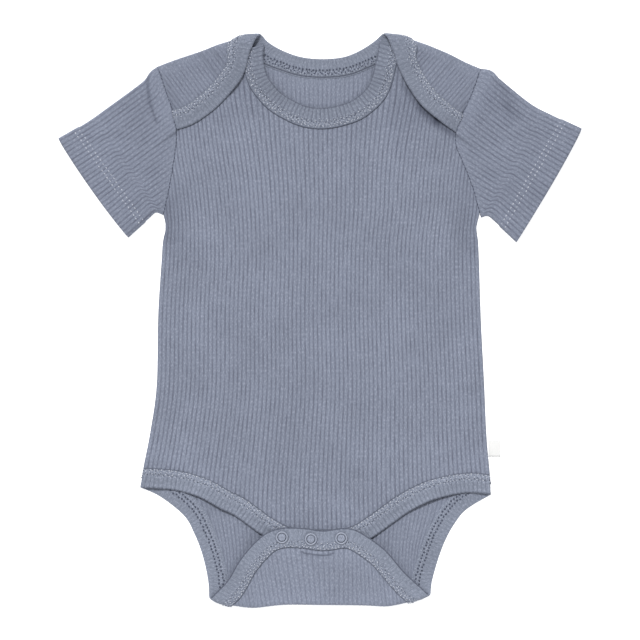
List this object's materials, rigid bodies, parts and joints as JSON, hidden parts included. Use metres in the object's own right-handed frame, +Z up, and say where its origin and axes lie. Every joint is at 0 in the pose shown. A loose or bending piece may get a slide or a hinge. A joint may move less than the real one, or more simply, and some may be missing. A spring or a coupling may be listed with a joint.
{
  "type": "short-sleeve baby romper",
  "caption": "Short-sleeve baby romper in rib knit with lapped envelope shoulders, bound edges and a snap-fastened crotch flap, lying flat on its back.",
  "frame": {"origin": "centre of the outline in plan, on the surface that the romper lies on", "axes": "+X towards the wearer's left, +Y from the crotch to the neck, +Z up, out of the chest"},
  "size_m": [0.3641, 0.4008, 0.013],
  "materials": {
    "rib_knit": "soft ribbed cotton jersey, dusty blue, slightly heathered",
    "rib_binding": "the same rib knit, folded as a binding with its ribs across",
    "snap_lacquer": "ring snaps lacquered to match the cloth, satin",
    "label_tape": "plain white woven label"
  },
  "bodies": {
    "root": {"back_panel": "rib_knit", "front_panel": "rib_knit", "sleeve_right": "rib_knit", "sleeve_left": "rib_knit", "neck_binding_back": "rib_binding", "neck_binding_front": "rib_binding", "leg_binding_back": "rib_binding", "leg_binding_front": "rib_binding", "snap_back_1": "snap_lacquer", "snap_back_2": "snap_lacquer", "snap_back_3": "snap_lacquer", "snap_stud_1": "snap_lacquer", "snap_stud_2": "snap_lacquer", "snap_stud_3": "snap_lacquer", "snap_socket_1": "snap_lacquer", "snap_socket_2": "snap_lacquer", "snap_socket_3": "snap_lacquer", "snap_ring_1": "snap_lacquer", "snap_ring_2": "snap_lacquer", "snap_ring_3": "snap_lacquer", "side_label": "label_tape"}
  },
  "joints": []
}
